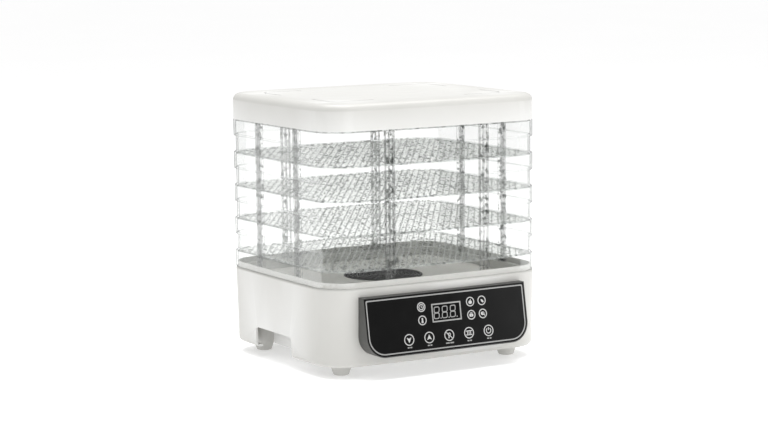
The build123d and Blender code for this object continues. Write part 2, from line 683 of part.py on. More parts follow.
with BuildPart() as board_standoffs:
    pins(COVER_TOP, BOARD_BOTTOM, STANDOFF_RADIUS, BOARD_HOLES)
    pins(COVER_TOP + STANDOFF_FLOOR, BOARD_BOTTOM, BOSS_HOLE, BOARD_HOLES, mode=Mode.SUBTRACT)
save(board_standoffs.part, "board_standoffs")
board_head, board_head_radius = BOARD_SCREW_HEAD
board_tip = COVER_TOP + 2 * STANDOFF_FLOOR
save(screws(BOARD_TOP + board_head, BOARD_TOP, board_tip, BOARD_HOLES, board_head_radius), "board_screws")


def board_block(centre, size):
    """A square-cornered component that stands on the power board."""
    with BuildPart(mode=Mode.PRIVATE) as block:
        with BuildSketch(level(BOARD_TOP)):
            with Locations(centre):
                Rectangle(size[0], size[1])
        extrude(amount=size[2])
        chamfer(block.edges().group_by(Axis.Z)[-1], BLOCK_CHAMFER)
    return block.part


save(board_block(*TRANSFORMER), "transformer")
save(board_block(*RELAY), "relay")
save(board_block(*TERMINAL_BLOCK), "terminal_block")

with BuildPart() as capacitors:
    pins(BOARD_TOP, BOARD_TOP + CAPACITOR_SIZE[1], CAPACITOR_SIZE[0], CAPACITOR_PLACES)
    fillet(capacitors.edges().group_by(Axis.Z)[-1], CAPACITOR_ROUND)
save(capacitors.part, "capacitors")

buzzer_top = BOARD_TOP + BUZZER_SIZE[1]
hole_radius, hole_depth = BUZZER_HOLE

with BuildPart() as buzzer:
    tube(BOARD_TOP, buzzer_top, BUZZER_SIZE[0], centre=BUZZER_PLACE)
    tube(buzzer_top - hole_depth, buzzer_top, hole_radius, centre=BUZZER_PLACE, mode=Mode.SUBTRACT)
save(buzzer.part, "buzzer")

# ---- Cord gland in the rear wall ------------------------------------------------------------------
gland_origin = (GLAND_X, BODY_Y + DEPTH / 2 - GLAND_INSIDE, GLAND_LEVEL)
gland_plane = Plane(origin=gland_origin, x_dir=(1, 0, 0), z_dir=(0, 1, 0))

with BuildPart() as cord_gland:
    with BuildSketch(gland_plane.offset(GLAND_LENGTH - GLAND_COLLAR)):
        Circle(GLAND_FLANGE)
    extrude(amount=GLAND_COLLAR)
    fillet(cord_gland.edges().sort_by(Axis.Y)[-1], GLAND_ROUND)
    add(housing_block, mode=Mode.SUBTRACT)
    with BuildSketch(gland_plane):
        Circle(GLAND_BARREL)
    extrude(amount=GLAND_LENGTH - 1)
    with BuildSketch(gland_plane):
        Circle(GLAND_FLANGE - 1)
    extrude(amount=GLAND_COLLAR)
    with BuildSketch(gland_plane):
        Circle(GLAND_BORE)
    extrude(amount=GLAND_LENGTH, mode=Mode.SUBTRACT)
save(cord_gland.part, "cord_gland")

# ---- Control panel --------------------------------------------------------------------------------
bezel_solid = panel_slab(0, 0)
bezel_recess = panel_slab(OVERLAY_INSET - OVERLAY_GAP, -RECESS_OUT, OVERLAY_THICK)
bezel_hollow = panel_slab(BEZEL_WALL, BEZEL_FACE)
overlay_slab = panel_slab(OVERLAY_INSET, 0, OVERLAY_THICK)

with BuildPart() as control_bezel:
    add(bezel_solid)
    add(bezel_hollow, mode=Mode.SUBTRACT)
    add(bezel_recess, mode=Mode.SUBTRACT)
    add(housing_block, mode=Mode.SUBTRACT)
    with BuildSketch(face_plane(DISPLAY_LEVEL)):
        Rectangle(*[side + 2 * DISPLAY_MARGIN for side in DISPLAY_SIZE])
    extrude(amount=-2 * BEZEL_FACE, mode=Mode.SUBTRACT)
save(control_bezel.part, "control_bezel")
save(overlay_slab, "control_overlay")

display_front = OVERLAY_THICK + OVERLAY_GAP
board_face = CONTROL_BOARD_BACK - BOARD_THICK

with BuildPart() as display_module:
    with BuildSketch(face_plane(DISPLAY_LEVEL, display_front)):
        Rectangle(*DISPLAY_SIZE)
    extrude(amount=display_front - board_face)
save(display_module.part, "display_module")

with BuildPart() as control_board:
    with BuildSketch(face_plane(CONTROL_BOARD_LEVEL, CONTROL_BOARD_BACK)):
        Rectangle(*CONTROL_BOARD)
    extrude(amount=BOARD_THICK)
save(control_board.part, "control_board")

KEY_SPOTS = [(KEY_PITCH * i, KEY_LEVEL) for i in (-2, -1, 0, 1, 2)]
ICON_SPOTS = [(x, height) for x in ICON_PLACES for height in ICON_LEVELS]

with BuildPart() as touch_springs:
    for spring_x, spring_level in KEY_SPOTS + ICON_SPOTS:
        with BuildSketch(face_plane(spring_level, board_face)):
            with Locations((spring_x, 0)):
                Circle(SPRING_RADII[0])
                Circle(SPRING_RADII[1], mode=Mode.SUBTRACT)
        extrude(amount=board_face - BEZEL_FACE - SPRING_GAP)
save(touch_springs.part, "touch_springs")

# ---- Cable from the control board to the power board ----------------------------------------------
CABLE_GAP = 0.5
CABLE_STRAIGHT = 30.0
CABLE_BEND = (70.0, -40.0, 57.0)
CABLE_END = (84.0, 28.0)
cable_start = face_plane(CABLE_LEVEL, CONTROL_BOARD_BACK + 2 * CABLE_GAP).origin
cable_points = [
    (CABLE_X, cable_start.Y, CABLE_LEVEL),
    (CABLE_X, cable_start.Y + CABLE_STRAIGHT, CABLE_LEVEL),
    (CABLE_BEND[0], BODY_Y + CABLE_BEND[1], CABLE_BEND[2]),
    (CABLE_END[0], BODY_Y + CABLE_END[1], BOARD_TOP + CABLE_RADIUS + CABLE_GAP),
]
with BuildPart() as board_cable:
    with BuildLine() as cable_route:
        Spline(*cable_points, tangents=[(0, 1, 0), (0, 1, 0)])
    with BuildSketch(Plane(origin=cable_points[0], z_dir=(0, 1, 0))):
        Circle(CABLE_RADIUS)
    sweep(path=cable_route.wires()[0])
save(board_cable.part, "board_cable")


# ---- Trays ----------------------------------------------------------------------------------------
def post_places():
    """Each stacking post as (x, y, turn): the middle of the wall it stands on and its direction."""
    front_y = DEPTH / 2 - FRONT_BOW * (POST_FRONT_X / (WIDTH / 2)) ** 2
    side_x = WIDTH / 2 - SIDE_BOW * (POST_SIDE_Y / (DEPTH / 2)) ** 2
    signs = [(sx, sy) for sx in (-1, 1) for sy in (-1, 1)]
    ends = [(sx * POST_FRONT_X, sy * front_y, -90 * sy) for sx, sy in signs]
    sides = [(sx * side_x, sy * POST_SIDE_Y, 90 + 90 * sx) for sx, sy in signs]
    return ends + sides


def posts(bottom, top):
    """Three-ribbed posts just inside the collar, from bottom to top."""
    rib_depth = POST_DEPTH - POST_BACK + POST_JOIN
    rib_pitch = (POST_WIDTH - POST_RIB) / 2
    rib_middle = POST_OUT + POST_BACK - POST_JOIN + rib_depth / 2
    with BuildSketch(level(bottom)) as plan:
        for x, y, turn in post_places():
            with Locations(Location((x, y, 0), (0, 0, turn))):
                with Locations((POST_OUT + POST_BACK / 2, 0)):
                    Rectangle(POST_BACK, POST_WIDTH)
                with Locations(*[(rib_middle, i * rib_pitch) for i in (-1, 0, 1)]):
                    Rectangle(rib_depth, POST_RIB)
    extrude(plan.sketch, amount=top - bottom)


def post_webs(bottom, top, start):
    """Webs that join the posts to a wall whose inside face is a little beyond start."""
    reach = POST_OUT + WEB_OVERLAP - start
    with BuildSketch(level(bottom)) as plan:
        for x, y, turn in post_places():
            with Locations(Location((x, y, 0), (0, 0, turn))):
                with Locations((start + reach / 2, 0)):
                    Rectangle(reach, POST_WIDTH)
    extrude(plan.sketch, amount=top - bottom)


def tray_frame(floor_top):
    """Collar above the floor, skirt below it, a ledge where they meet, and the stacking posts."""
    floor_bottom = floor_top - FLOOR_THICK
    skirt_bottom = floor_top - HALF_PITCH
    post_top = floor_top + HALF_PITCH
    # the lower webs stop short of the neck or the collar that the skirt goes over
    web_bottom = skirt_bottom + NECK_TOP - LEDGE + WEB_CLEAR
    with BuildPart(mode=Mode.PRIVATE) as frame:
        band(skirt_bottom, floor_top, 0, TRAY_WALL)
        band(floor_bottom, floor_top, 0, COLLAR_IN)
        band(floor_bottom, post_top + NEST_OVERLAP, COLLAR_OUT, COLLAR_IN)
        posts(floor_top, post_top)
        post_webs(floor_top, post_top, COLLAR_IN - WEB_JOIN)
        posts(skirt_bottom, floor_bottom)
        post_webs(web_bottom, floor_bottom, TRAY_WALL - WEB_JOIN)
    return frame.part


def on_floor(x, y):
    """Is this place inside the floor's plain border?"""
    past_x = abs(x) - (WIDTH / 2 - SIDE_BOW - CORNER)
    past_y = abs(y) - (DEPTH / 2 - FRONT_BOW - CORNER)
    if past_x > 0 and past_y > 0:
        return math.hypot(past_x, past_y) < CORNER - MESH_BORDER
    return max(past_x, past_y) < CORNER - MESH_BORDER


def slot_places():
    """The middles of the diagonal slots that lie wholly inside the border, staggered row by row."""
    diagonal = math.sqrt(0.5)
    reach = MESH_LENGTH / 2 * diagonal
    rows = int(WIDTH / (MESH_SLOT + MESH_BAR))
    columns = int(WIDTH / (MESH_LENGTH + MESH_BRIDGE))
    places = []
    for row in range(-rows, rows + 1):
        across = row * (MESH_SLOT + MESH_BAR) * diagonal
        for column in range(-columns, columns + 1):
            along = (column + row % 2 / 2) * (MESH_LENGTH + MESH_BRIDGE) * diagonal
            x, y = across - along, across + along
            if on_floor(x - reach, y + reach) and on_floor(x + reach, y - reach):
                places.append((x, y))
    return places


def mesh_plan():
    """The floor's plan: fine diagonal slots inside a plain border."""
    outline = footprint(COLLAR_IN + FLOOR_GAP)
    with BuildSketch(Plane.XY, mode=Mode.PRIVATE) as plan:
        add(outline)
        with Locations(*slot_places()):
            Rectangle(MESH_SLOT, MESH_LENGTH, rotation=45, mode=Mode.SUBTRACT)
    return plan.sketch


floor_plan = mesh_plan()
for number in range(1, TRAY_COUNT + 1):
    floor_top = LID_BOTTOM - TRAY_PITCH * (number - 1)
    save(tray_frame(floor_top), f"tray_{number}_frame")
    with BuildPart() as tray_floor:
        with BuildSketch(level(floor_top - FLOOR_THICK)):
            add(floor_plan)
        extrude(amount=FLOOR_THICK)
    save(tray_floor.part, f"tray_{number}_floor")

# ---- Lid ------------------------------------------------------------------------------------------
with BuildPart() as lid_hollow:
    band(LID_BOTTOM - CUT_MARGIN, LID_TOP - WALL, LID_WALL)
    fillet(lid_hollow.edges().group_by(Axis.Z)[-1], LID_ROUND - LID_WALL)

with BuildPart() as lid:
    band(LID_BOTTOM, LID_TOP, 0)
    fillet(lid.edges().group_by(Axis.Z)[-1], LID_ROUND)
    add(lid_hollow.part, mode=Mode.SUBTRACT)
    # L-shaped vent slots: the corners of a rounded rectangular ring
    with BuildSketch(level(LID_TOP - WALL - CUT_MARGIN)):
        RectangleRounded(VENT_RING[0], VENT_RING[1], VENT_CORNER)
        inner_ring = [size - 2 * VENT_WIDTH for size in VENT_RING]
        RectangleRounded(*inner_ring, VENT_CORNER - VENT_WIDTH, mode=Mode.SUBTRACT)
        Rectangle(VENT_GAP[0], DEPTH, mode=Mode.SUBTRACT)
        Rectangle(WIDTH, VENT_GAP[1], mode=Mode.SUBTRACT)
    extrude(amount=WALL + 2 * CUT_MARGIN, mode=Mode.SUBTRACT)
save(lid.part, "lid")
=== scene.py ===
import json
import math

import bpy
import bmesh
from mathutils import Matrix, Vector


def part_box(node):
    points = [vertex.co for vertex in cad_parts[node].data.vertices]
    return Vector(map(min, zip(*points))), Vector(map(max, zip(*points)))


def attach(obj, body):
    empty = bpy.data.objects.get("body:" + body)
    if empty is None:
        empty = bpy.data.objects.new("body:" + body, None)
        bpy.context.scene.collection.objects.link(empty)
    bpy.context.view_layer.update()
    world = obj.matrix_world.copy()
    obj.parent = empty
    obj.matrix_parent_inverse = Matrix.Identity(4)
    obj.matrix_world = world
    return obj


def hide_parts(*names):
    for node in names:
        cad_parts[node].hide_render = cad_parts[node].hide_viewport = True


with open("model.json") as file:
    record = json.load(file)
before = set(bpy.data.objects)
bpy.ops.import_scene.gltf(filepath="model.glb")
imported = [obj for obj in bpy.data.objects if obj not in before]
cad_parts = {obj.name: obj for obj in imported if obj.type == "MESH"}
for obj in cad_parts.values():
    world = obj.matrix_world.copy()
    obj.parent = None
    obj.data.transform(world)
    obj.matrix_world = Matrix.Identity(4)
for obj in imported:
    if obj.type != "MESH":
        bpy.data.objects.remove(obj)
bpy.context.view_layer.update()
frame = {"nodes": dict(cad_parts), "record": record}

nodes = frame["nodes"]
MM = 0.001

# ---- The body's plan, as in the CAD model, in millimetres about the body's own centre --------------
tray_low, tray_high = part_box("tray_1_frame")
CENTRE = (tray_low + tray_high) / 2
HALF_WIDTH = (tray_high.x - tray_low.x) / 2 / MM
HALF_DEPTH = (tray_high.y - tray_low.y) / 2 / MM
CORNER = 38.9
FRONT_BOW = 4.2
SIDE_BOW = 1.8
SIDE_STEPS = 14
CORNER_STEPS = 14
TRAYS = 5


def arc(centre, radius, start, end, steps):
    """Points along an arc, both ends included."""
    return [
        (
            centre[0] + radius * math.cos(start + (end - start) * i / steps),
            centre[1] + radius * math.sin(start + (end - start) * i / steps),
        )
        for i in range(steps + 1)
    ]


def quadrant(inset):
    """The plan's rear right quarter moved in by inset, from the right side's middle to the rear's."""
    half_w, half_d, corner = HALF_WIDTH - inset, HALF_DEPTH - inset, CORNER - inset
    end_x, end_y = half_w - SIDE_BOW, half_d - FRONT_BOW
    rear_r = (end_x**2 + FRONT_BOW**2) / (2 * FRONT_BOW)
    side_r = (end_y**2 + SIDE_BOW**2) / (2 * SIDE_BOW)
    rear_c, side_c = Vector((0, half_d - rear_r)), Vector((half_w - side_r, 0))
    # the corner's centre lies corner inside both of the long arcs
    spot = Vector((half_w - corner - 1, half_d - corner - 2))
    for _ in range(60):
        for centre, reach in ((rear_c, rear_r - corner), (side_c, side_r - corner)):
            away = spot - centre
            spot = centre + away * (reach / away.length)
    side_end = math.atan2(*reversed(spot - side_c))
    rear_start = math.atan2(*reversed(spot - rear_c))
    points = arc(side_c, side_r, 0, side_end, SIDE_STEPS)
    points += arc(spot, corner, side_end, rear_start, CORNER_STEPS)[1:]
    points += arc(rear_c, rear_r, rear_start, math.pi / 2, SIDE_STEPS)[1:]
    return points


def outline(inset):
    """The whole plan moved in by inset, anticlockwise, as points in metres in the row frame."""
    first = quadrant(inset)
    second = [(-x, y) for x, y in reversed(first)][1:]
    upper = first + second
    lower = [(-x, -y) for x, y in upper][1:-1]
    return [(CENTRE.x + x * MM, CENTRE.y + y * MM) for x, y in upper + lower]


# ---- Mesh helpers ---------------------------------------------------------------------------------
def finished(name, verts, faces, body, material, replaced=(), sharp=35.0):
    """A mesh object from points in metres, shaded smooth with sharp edges kept, riding on its body."""
    mesh = bpy.data.meshes.new(name)
    mesh.from_pydata([tuple(v) for v in verts], [], faces)
    mesh.validate()
    made = bmesh.new()
    made.from_mesh(mesh)
    bmesh.ops.recalc_face_normals(made, faces=made.faces)
    made.to_mesh(mesh)
    made.free()
    return dressed(name, mesh, body, material, replaced, sharp)


def dressed(name, mesh, body, material, replaced=(), sharp=35.0):
    """Links a mesh as a finished piece of the model."""
    mesh.polygons.foreach_set("use_smooth", [True] * len(mesh.polygons))
    mesh.set_sharp_from_angle(angle=math.radians(sharp))
    mesh.materials.clear()
    mesh.materials.append(material)
    obj = bpy.data.objects.new(name, mesh)
    bpy.context.scene.collection.objects.link(obj)
    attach(obj, body)
    if replaced:
        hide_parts(*replaced)
    return obj


def softened(profile, steps=3):
    """A closed profile of (inset, z, radius) with each corner rounded, as (inset, z) points."""
    points = []
    count = len(profile)
    for i, (x, z, radius) in enumerate(profile):
        here = Vector((x, z))
        if radius <= 0:
            points.append((x, z))
            continue
        before = Vector(profile[i - 1][:2]) - here
        after = Vector(profile[(i + 1) % count][:2]) - here
        start = here + before.normalized() * radius
        end = here + after.normalized() * radius
        for k in range(steps + 1):
            t = k / steps
            point = start * (1 - t) ** 2 + here * 2 * t * (1 - t) + end * t**2
            points.append((point.x, point.y))
    return points


def swept(profile, verts, faces):
    """Adds a closed profile of (inset, z in metres) carried round the body's plan."""
    first = len(verts)
    rings = []
    for inset, z in profile:
        ring = outline(inset)
        rings.append([first + len(rings) * len(ring) + k for k in range(len(ring))])
        verts.extend((x, y, z) for x, y in ring)
    around = len(rings[0])
    for i, ring in enumerate(rings):
        following = rings[(i + 1) % len(rings)]
        for k in range(around):
            n = (k + 1) % around
            faces.append((ring[k], ring[n], following[n], following[k]))


def prism(loop, low, high, verts, faces, to_world, levels=()):
    """Adds an upright prism whose plan is loop, placed by to_world((x, y))."""
    heights = [low, *levels, high]
    first = len(verts)
    count = len(loop)
    for z in heights:
        verts.extend((*to_world(p), z) for p in loop)
    for layer in range(len(heights) - 1):
        base = first + layer * count
        for k in range(count):
            n = (k + 1) % count
            faces.append((base + k, base + n, base + n + count, base + k + count))
    faces.append(tuple(first + k for k in reversed(range(count))))
    top = first + (len(heights) - 1) * count
    faces.append(tuple(top + k for k in range(count)))


# ---- Materials: colours are linear, distances in metres --------------------------------------------
def new_material(name):
    material = bpy.data.materials.new(name)
    material.use_nodes = True
    tree = material.node_tree
    return material, tree, tree.nodes["Principled BSDF"]


def node(tree, kind, **inputs):
    """A node with its inputs set by name."""
    made = tree.nodes.new(kind)
    for key, value in inputs.items():
        made.inputs[key].default_value = value
    return made


def noise(tree, scale, detail=3.0, roughness=0.55):
    """Noise laid over the object's own coordinates."""
    place = tree.nodes.new("ShaderNodeTexCoord")
    made = node(tree, "ShaderNodeTexNoise", Scale=scale, Detail=detail, Roughness=roughness)
    tree.links.new(place.outputs["Object"], made.inputs["Vector"])
    return made.outputs["Fac"]


def spread(tree, source, low, high):
    """A number from low to high as source goes from 0.3 to 0.7."""
    made = tree.nodes.new("ShaderNodeMapRange")
    made.inputs["From Min"].default_value = 0.3
    made.inputs["From Max"].default_value = 0.7
    made.inputs["To Min"].default_value = low
    made.inputs["To Max"].default_value = high
    tree.links.new(source, made.inputs["Value"])
    return made.outputs["Result"]


def blended(tree, factor, first, second):
    """A colour between two, by a number."""
    made = tree.nodes.new("ShaderNodeMix")
    made.data_type = "RGBA"
    made.inputs[6].default_value = (*first, 1)
    made.inputs[7].default_value = (*second, 1)
    tree.links.new(factor, made.inputs[0])
    return made.outputs[2]


def bump(tree, shader, source, strength, distance):
    """Roughens the shader's surface by a source."""
    made = node(tree, "ShaderNodeBump", Strength=strength, Distance=distance)
    tree.links.new(source, made.inputs["Height"])
    tree.links.new(made.outputs["Normal"], shader.inputs["Normal"])


def wear_and_highlight_edge_share(tree, low=0.52, high=0.60):
    """0 on flat faces and 1 on pointed outer edges, from how pointed the surface is; these edges stand for
    rub wear and a painted edge highlight.
    """
    geometry = tree.nodes.new("ShaderNodeNewGeometry")
    made = tree.nodes.new("ShaderNodeMapRange")
    made.inputs["From Min"].default_value = low
    made.inputs["From Max"].default_value = high
    tree.links.new(geometry.outputs["Pointiness"], made.inputs["Value"])
    return made.outputs["Result"]


def moulded(name, first, second, rough, grain, depth, edge=None, blotch=9.0, gleam=0.5):
    """Moulded plastic: cloudy colour, uneven gloss, a fine surface grain and, when edge is given, lighter
    pointed edges, partly rub wear and partly a painted edge highlight.
    """
    material, tree, shader = new_material(name)
    colour = blended(tree, spread(tree, noise(tree, blotch), 0, 1), first, second)
    # lighter pointed edges: rub wear and a painted edge highlight together
    if edge is not None:
        mix = tree.nodes.new("ShaderNodeMix")
        mix.data_type = "RGBA"
        mix.inputs[7].default_value = (*edge, 1)
        tree.links.new(wear_and_highlight_edge_share(tree), mix.inputs[0])
        tree.links.new(colour, mix.inputs[6])
        colour = mix.outputs[2]
    tree.links.new(colour, shader.inputs["Base Color"])
    tree.links.new(spread(tree, noise(tree, 55.0, 5.0), *rough), shader.inputs["Roughness"])
    bump(tree, shader, noise(tree, grain, 2.0), 0.25, depth)
    shader.inputs["Specular IOR Level"].default_value = gleam
    return material


def metal(name, first, second, rough, grain=900.0):
    """Metal with a faint fine grain and uneven brightness."""
    material, tree, shader = new_material(name)
    colour = blended(tree, spread(tree, noise(tree, 60.0, 4.0), 0, 1), first, second)
    tree.links.new(colour, shader.inputs["Base Color"])
    shader.inputs["Metallic"].default_value = 1.0
    tree.links.new(spread(tree, noise(tree, 140.0, 4.0), *rough), shader.inputs["Roughness"])
    bump(tree, shader, noise(tree, grain, 3.0), 0.2, 0.00004)
    return material


def clear_plastic(name, haze, open_colour, edge_on_shade_colour, mirror, ripple=0.00001, flat=0.70,
                  grazing=0.92, painted_shade_fleck=0):
    """Thin clear plastic: it lets light straight through, mirrors a little and holds a faint milky haze.
    Where it is seen edge on its tint darkens, a painted shade standing in for refraction, and painted dark
    flecks can be added."""
    material, tree, shader = new_material(name)
    output = tree.nodes["Material Output"]
    weight = node(tree, "ShaderNodeLayerWeight", Blend=0.5)
    facing = tree.nodes.new("ShaderNodeMapRange")
    facing.inputs["From Min"].default_value = flat
    facing.inputs["From Max"].default_value = grazing
    tree.links.new(weight.outputs["Facing"], facing.inputs["Value"])
    through = tree.nodes.new("ShaderNodeBsdfTransparent")
    # the tint darkens toward edge on as painted shade standing in for refraction
    tint = blended(tree, facing.outputs["Result"], open_colour, edge_on_shade_colour)
    if painted_shade_fleck:
        # small dark flecks painted in as shade standing in for refraction in the thick parts
        dark = tree.nodes.new("ShaderNodeMapRange")
        dark.inputs["From Min"].default_value = 0.55
        dark.inputs["From Max"].default_value = 0.68
        tree.links.new(noise(tree, painted_shade_fleck, 1.0), dark.inputs["Value"])
        mix = tree.nodes.new("ShaderNodeMix")
        mix.data_type = "RGBA"
        mix.inputs[7].default_value = (0.40, 0.41, 0.40, 1)
        tree.links.new(dark.outputs["Result"], mix.inputs[0])
        tree.links.new(tint, mix.inputs[6])
        tint = mix.outputs[2]
    tree.links.new(tint, through.inputs["Color"])
    tree.links.new(
        blended(tree, spread(tree, noise(tree, 30.0), 0, 1), (0.93, 0.94, 0.93), (0.85, 0.87, 0.86)),
        shader.inputs["Base Color"],
    )
    tree.links.new(spread(tree, noise(tree, 90.0, 4.0), 0.05, 0.16), shader.inputs["Roughness"])
    bump(tree, shader, noise(tree, 160.0, 2.0), 0.3, ripple)
    fresnel = node(tree, "ShaderNodeFresnel", IOR=1.5)
    share = tree.nodes.new("ShaderNodeMapRange")
    share.inputs["From Min"].default_value = 0.0
    share.inputs["From Max"].default_value = 1.0
    share.inputs["To Min"].default_value = haze
    share.inputs["To Max"].default_value = mirror
    tree.links.new(fresnel.outputs["Fac"], share.inputs["Value"])
    mix = tree.nodes.new("ShaderNodeMixShader")
    tree.links.new(share.outputs["Result"], mix.inputs["Fac"])
    tree.links.new(through.outputs["BSDF"], mix.inputs[1])
    tree.links.new(shader.outputs["BSDF"], mix.inputs[2])
    tree.links.new(mix.outputs["Shader"], output.inputs["Surface"])
    return material


# the edge colours of the white and black plastics lighten their pointed edges as rub wear and a painted edge
# highlight
white = moulded("white_plastic", (0.54, 0.535, 0.51), (0.57, 0.565, 0.54), (0.30, 0.42), 2600.0, 0.00003,
                edge=(0.72, 0.72, 0.705))
# the deck plate: a lighter copy of the white plastic, lightened as painted light against the shade the deck
# lies in
deck_painted_light_white = moulded("deck_plastic_painted_light", (0.93, 0.91, 0.865), (0.95, 0.93, 0.885), (0.4, 0.52), 2600.0,
                     0.00004)
# the fan guard: a darker copy of the black plastic, darkened as painted shade, with a weaker gleam
guard_painted_shade_black = moulded("guard_painted_shade_black", (0.004, 0.004, 0.004), (0.007, 0.007, 0.007), (0.4, 0.55), 3000.0,
                      0.00005, gleam=0.12)
black = moulded("black_plastic", (0.020, 0.020, 0.018), (0.030, 0.030, 0.027), (0.42, 0.56), 3800.0, 0.00006,
                edge=(0.07, 0.07, 0.066))
panel_film = moulded("panel_film", (0.003, 0.003, 0.003), (0.005, 0.005, 0.005), (0.12, 0.22), 900.0,
                     0.00001, blotch=5.0, gleam=0.10)
window = moulded("display_window", (0.0015, 0.0015, 0.002), (0.003, 0.003, 0.003), (0.08, 0.14), 700.0,
                 0.00001, gleam=0.08)
silver_ink = moulded("silver_ink", (0.26, 0.26, 0.255), (0.34, 0.34, 0.335), (0.28, 0.40), 5200.0, 0.00003)
white_ink = moulded("white_ink", (0.46, 0.46, 0.455), (0.56, 0.56, 0.555), (0.30, 0.42), 5200.0, 0.00003)
pad = moulded("pad_rubber", (0.66, 0.66, 0.64), (0.74, 0.74, 0.72), (0.65, 0.8), 1800.0, 0.00008)
gland = moulded("gland_rubber", (0.03, 0.03, 0.03), (0.05, 0.05, 0.05), (0.55, 0.7), 1800.0, 0.00008)
wall_clear = clear_plastic("tray_wall", 0.004, (0.997, 0.998, 0.997), (0.40, 0.41, 0.405), 0.25)
rib_clear = clear_plastic("tray_rib", 0.01, (0.985, 0.985, 0.985), (0.12, 0.12, 0.12), 0.20, flat=0.38,
                          grazing=0.75, painted_shade_fleck=190.0)
mesh_clear = clear_plastic("tray_mesh", 0.09, (0.985, 0.99, 0.985), (0.99, 0.99, 0.99), 0.45, 0.00003,
                           painted_shade_fleck=230.0)

PLAIN = {
    "zinc_sheet": metal("zinc_sheet", (0.55, 0.57, 0.60), (0.68, 0.70, 0.72), (0.28, 0.45)),
    "steel": metal("steel", (0.52, 0.52, 0.54), (0.64, 0.64, 0.66), (0.2, 0.35)),
    "lamination": metal("lamination", (0.16, 0.16, 0.18), (0.26, 0.26, 0.28), (0.4, 0.6), 1600.0),
    "bronze": metal("bronze", (0.55, 0.38, 0.20), (0.66, 0.48, 0.28), (0.35, 0.5)),
    "copper_wire": metal("copper_wire", (0.62, 0.27, 0.12), (0.76, 0.38, 0.18), (0.25, 0.4), 2600.0),
    "resistance_wire": metal("resistance_wire", (0.36, 0.31, 0.29), (0.50, 0.42, 0.36), (0.3, 0.5), 2600.0),
    "mica": moulded("mica", (0.66, 0.60, 0.48), (0.76, 0.70, 0.58), (0.5, 0.7), 700.0, 0.00008),
    "fuse_sleeve": moulded(
        "fuse_sleeve", (0.80, 0.77, 0.70), (0.88, 0.86, 0.80), (0.7, 0.85), 2400.0, 0.0001
    ),
    "circuit_board": moulded(
        "circuit_board", (0.03, 0.16, 0.07), (0.05, 0.24, 0.10), (0.3, 0.45), 1500.0, 0.00004
    ),
    "transformer_tape": moulded(
        "transformer_tape", (0.68, 0.54, 0.08), (0.80, 0.66, 0.14), (0.3, 0.45), 900.0, 0.00005
    ),
    "relay_case": moulded(
        "relay_case", (0.03, 0.12, 0.36), (0.06, 0.18, 0.46), (0.3, 0.42), 2400.0, 0.00004
    ),
    "terminal_green": moulded(
        "terminal_green", (0.05, 0.34, 0.14), (0.09, 0.44, 0.20), (0.35, 0.5), 2400.0, 0.00004
    ),
    "capacitor_case": moulded(
        "capacitor_case", (0.06, 0.07, 0.12), (0.10, 0.11, 0.17), (0.2, 0.35), 1200.0, 0.00003
    ),
    "cable_sleeve": moulded(
        "cable_sleeve", (0.62, 0.62, 0.60), (0.72, 0.72, 0.70), (0.45, 0.6), 1500.0, 0.00005
    ),
    "white_plastic": white,
    "black_plastic": black,
    "panel_gloss": panel_film,
    "display_face": window,
    "pad_rubber": pad,
    "gland_rubber": gland,
    "clear_plastic": wall_clear,
}

# deck_plate gets a lighter copy of the white plastic as painted light; fan_guard gets a darker copy of the
# black plastic as painted shade
SPECIAL = {"deck_plate": deck_painted_light_white, "fan_guard": guard_painted_shade_black}

# every carried-over CAD node gets the finish of its own material slot, except the deck plate and fan guard,
# which take the finishes in SPECIAL
for entry in frame["record"]["subparts"]:
    obj = nodes[entry["node"]]
    finish = SPECIAL.get(entry["node"], PLAIN[entry["material_slot"]])
    obj.data.materials.clear()
    obj.data.materials.append(finish)

# ---- Trays ----------------------------------------------------------------------------------------
SKIRT = 2.0
COLLAR_OUT = 2.4
COLLAR_IN = 4.4
POST_START = 4.5
POST_DEEP = 4.7
POST_BACK = 1.2
POST_WIDE = 12.0
POST_RIB = 1.5
POST_FRONT_X = 64.7
POST_SIDE_Y = 46.8
LATTICE_ACROSS = 8.6
LATTICE_DEEP = 13.0
BAR_WIDE = 1.9
BAR_TALL = 1.15


def frame_profile(bottom, floor, top):
    """Skirt, ledge and collar of one tray, as a closed profile of (inset, z) points."""
    ledge = floor - 2.0 * MM
    corners = [
        (0.0, bottom, 0.5), (0.0, floor, 0.5), (COLLAR_OUT, floor, 0.0), (COLLAR_OUT, top, 0.6),
        (COLLAR_IN, top, 0.6), (COLLAR_IN, ledge, 0.5), (SKIRT, ledge, 0.3), (SKIRT, bottom, 0.5),
    ]
    # the rounding works in millimetres
    return [(x, z * MM) for x, z in softened([(x, z / MM, r) for x, z, r in corners])]


def post_spots():
    """Each stacking post: a point on the plan's edge, in millimetres, and the inward direction."""
    spots = []
    for sx in (-1, 1):
        for sy in (-1, 1):
            y = HALF_DEPTH - FRONT_BOW * (POST_FRONT_X / HALF_WIDTH) ** 2
            spots.append(((sx * POST_FRONT_X, sy * y), (0, -sy)))
            x = HALF_WIDTH - SIDE_BOW * (POST_SIDE_Y / HALF_DEPTH) ** 2
            spots.append(((sx * x, sy * POST_SIDE_Y), (-sx, 0)))
    return spots


def comb():
    """The post's plan: a back plate with three ribs, as (across, deep) points in millimetres."""
    half, back, deep, rib = POST_WIDE / 2, POST_BACK, POST_DEEP, POST_RIB
    soft = 0.3
    points = [(-half, 0), (half, 0)]
    for middle in (half - rib / 2, 0.0, -half + rib / 2):
        right, left = middle + rib / 2, middle - rib / 2
        if middle < half - rib:
            points.append((right, back))
        points += [(right, deep - soft), (right - soft, deep), (left + soft, deep), (left, deep - soft)]
        if middle > -half + rib:
            points.append((left, back))
    return points


